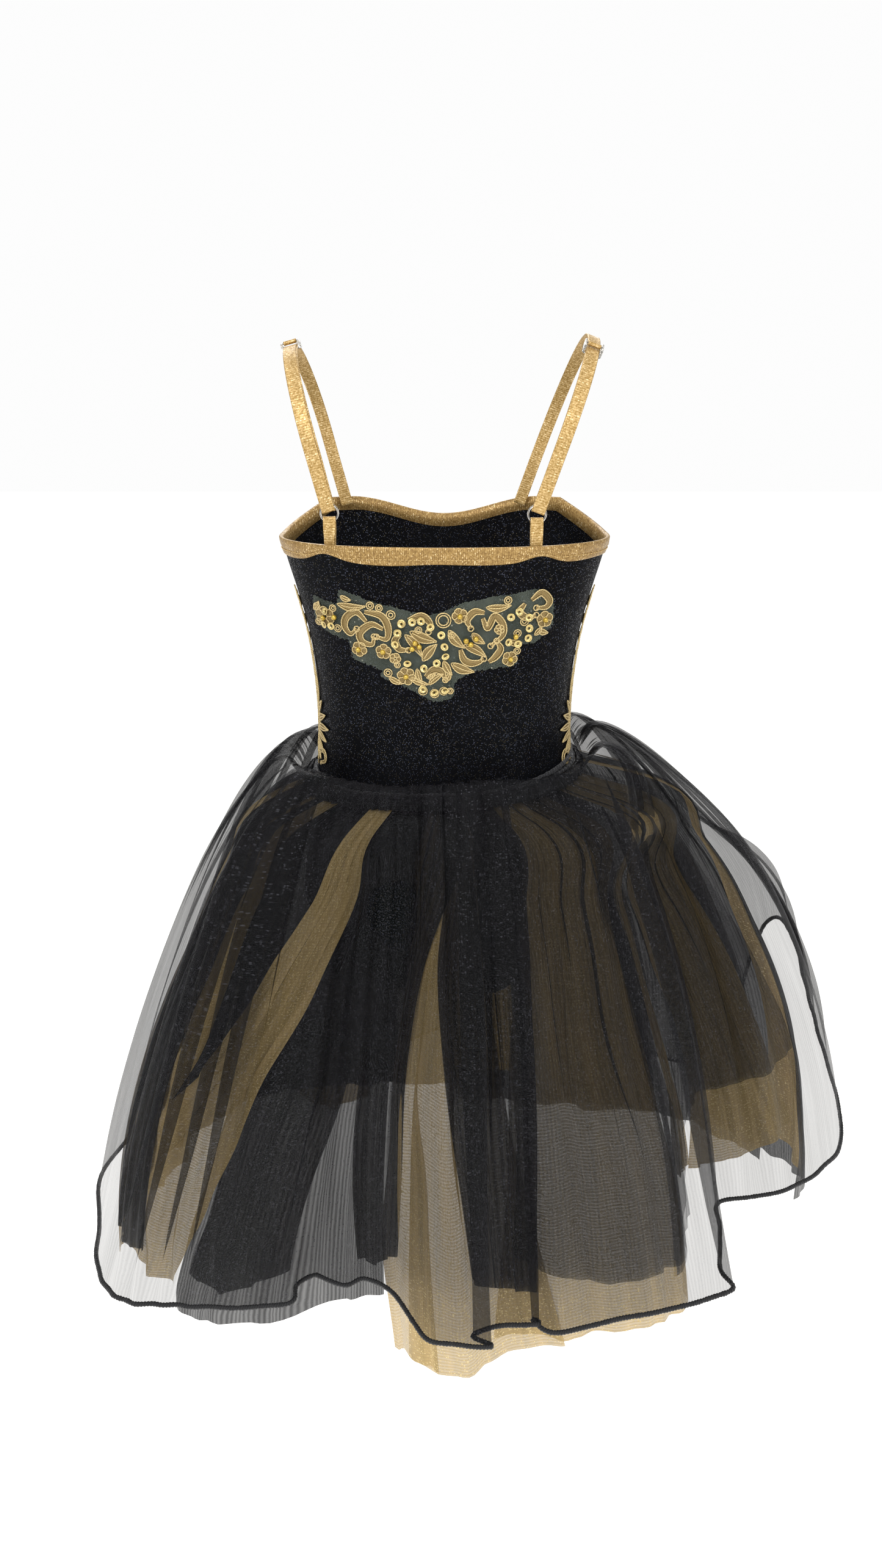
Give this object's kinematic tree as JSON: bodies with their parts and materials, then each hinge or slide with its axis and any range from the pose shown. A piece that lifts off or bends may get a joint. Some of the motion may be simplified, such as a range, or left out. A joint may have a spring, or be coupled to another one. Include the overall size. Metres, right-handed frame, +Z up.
{
  "type": "cheer uniform",
  "caption": "Sleeveless stretch leotard with adjustable shoulder straps, a beaded lace patch on the back and a full net skirt over loose organza panels, worn for cheer and dance.",
  "frame": {"origin": "middle of the line across the tops of the two shoulder straps", "axes": "+Z up, -Y the way the wearer faces, +X the wearer's left"},
  "size_m": [0.663, 0.4261, 0.7548],
  "materials": {
    "black_stretch": "stretch knit with fine glitter",
    "gold_elastic": "glitter foil elastic",
    "gold_lace": "corded lace",
    "net_backing": "fine net",
    "clear_plastic": "clear moulded",
    "black_net": "soft net",
    "black_organza": "sheer glitter organza",
    "gold_organza": "sheer glitter organza"
  },
  "bodies": {
    "bodice": {"applique_cording": "gold_lace", "applique_net": "net_backing", "bodice_back": "black_stretch", "bodice_front": "black_stretch", "brief_back": "black_stretch", "brief_front": "black_stretch", "front_lace": "gold_lace", "leg_elastic_left": "black_stretch", "leg_elastic_right": "black_stretch", "neck_binding": "gold_elastic", "ring_tab_left": "gold_elastic", "ring_tab_right": "gold_elastic", "side_lace_left": "gold_lace", "side_lace_right": "gold_lace", "waist_elastic": "black_stretch"},
    "skirt": {"black_panel_01": "black_organza", "black_panel_02": "black_organza", "black_panel_03": "black_organza", "black_panel_04": "black_organza", "black_panel_05": "black_organza", "black_panel_06": "black_organza", "black_panel_07": "black_organza", "black_panel_08": "black_organza", "black_panel_09": "black_organza", "black_panel_10": "black_organza", "black_panel_11": "black_organza", "black_panel_12": "black_organza", "black_panel_13": "black_organza", "black_panel_14": "black_organza", "black_panel_15": "black_organza", "black_panel_16": "black_organza", "gold_panel_01": "gold_organza", "gold_panel_02": "gold_organza", "gold_panel_03": "gold_organza", "gold_panel_04": "gold_organza", "gold_panel_05": "gold_organza", "gold_panel_06": "gold_organza", "gold_panel_07": "gold_organza", "gold_panel_08": "gold_organza", "gold_panel_09": "gold_organza", "gold_panel_10": "gold_organza", "gold_panel_11": "gold_organza", "gold_panel_12": "gold_organza", "gold_panel_13": "gold_organza", "gold_panel_14": "gold_organza", "gold_panel_15": "gold_organza", "gold_panel_16": "gold_organza", "hem_overlock": "black_stretch", "skirt_gathers": "black_stretch", "skirt_net": "black_net"},
    "strap_left": {"strap_left": "gold_elastic"},
    "strap_right": {"strap_right": "gold_elastic"},
    "slider_left": {"slider_left": "clear_plastic", "slider_loop_left": "gold_elastic"},
    "slider_right": {"slider_right": "clear_plastic", "slider_loop_right": "gold_elastic"},
    "ring_left": {"ring_left": "clear_plastic"},
    "ring_right": {"ring_right": "clear_plastic"}
  },
  "joints": [
    {"name": "strap_left_swing", "type": "hinge", "parent": "bodice", "child": "strap_left", "pos_m": [0.0765, 0, -0.1095], "axis": [0, 1, 0], "range_deg": [-30, 25]},
    {"name": "slider_left_travel", "type": "hinge", "parent": "strap_left", "child": "slider_left", "pos_m": [0.08783, 0.0006, -0.06722], "axis": [0.9659, 0, -0.2588], "range_deg": [-64, 18]},
    {"name": "ring_left_spin", "type": "hinge", "parent": "bodice", "child": "ring_left", "pos_m": [0.0765, 0.06553, -0.1095], "axis": [0, 1, 0], "continuous": true},
    {"name": "strap_right_swing", "type": "hinge", "parent": "bodice", "child": "strap_right", "pos_m": [-0.0605, 0, -0.1095], "axis": [0, -1, 0], "range_deg": [-30, 22]},
    {"name": "slider_right_travel", "type": "hinge", "parent": "strap_right", "child": "slider_right", "pos_m": [-0.0758, 0.0006, -0.06678], "axis": [0.9415, 0, 0.3371], "range_deg": [-40, 36]},
    {"name": "ring_right_spin", "type": "hinge", "parent": "bodice", "child": "ring_right", "pos_m": [-0.0605, 0.07332, -0.1095], "axis": [0, 1, 0], "continuous": true},
    {"name": "skirt_sway", "type": "hinge", "parent": "bodice", "child": "skirt", "pos_m": [-0.02, 0, -0.3055], "axis": [0, 1, 0], "range_deg": [-8, 8]}
  ]
}
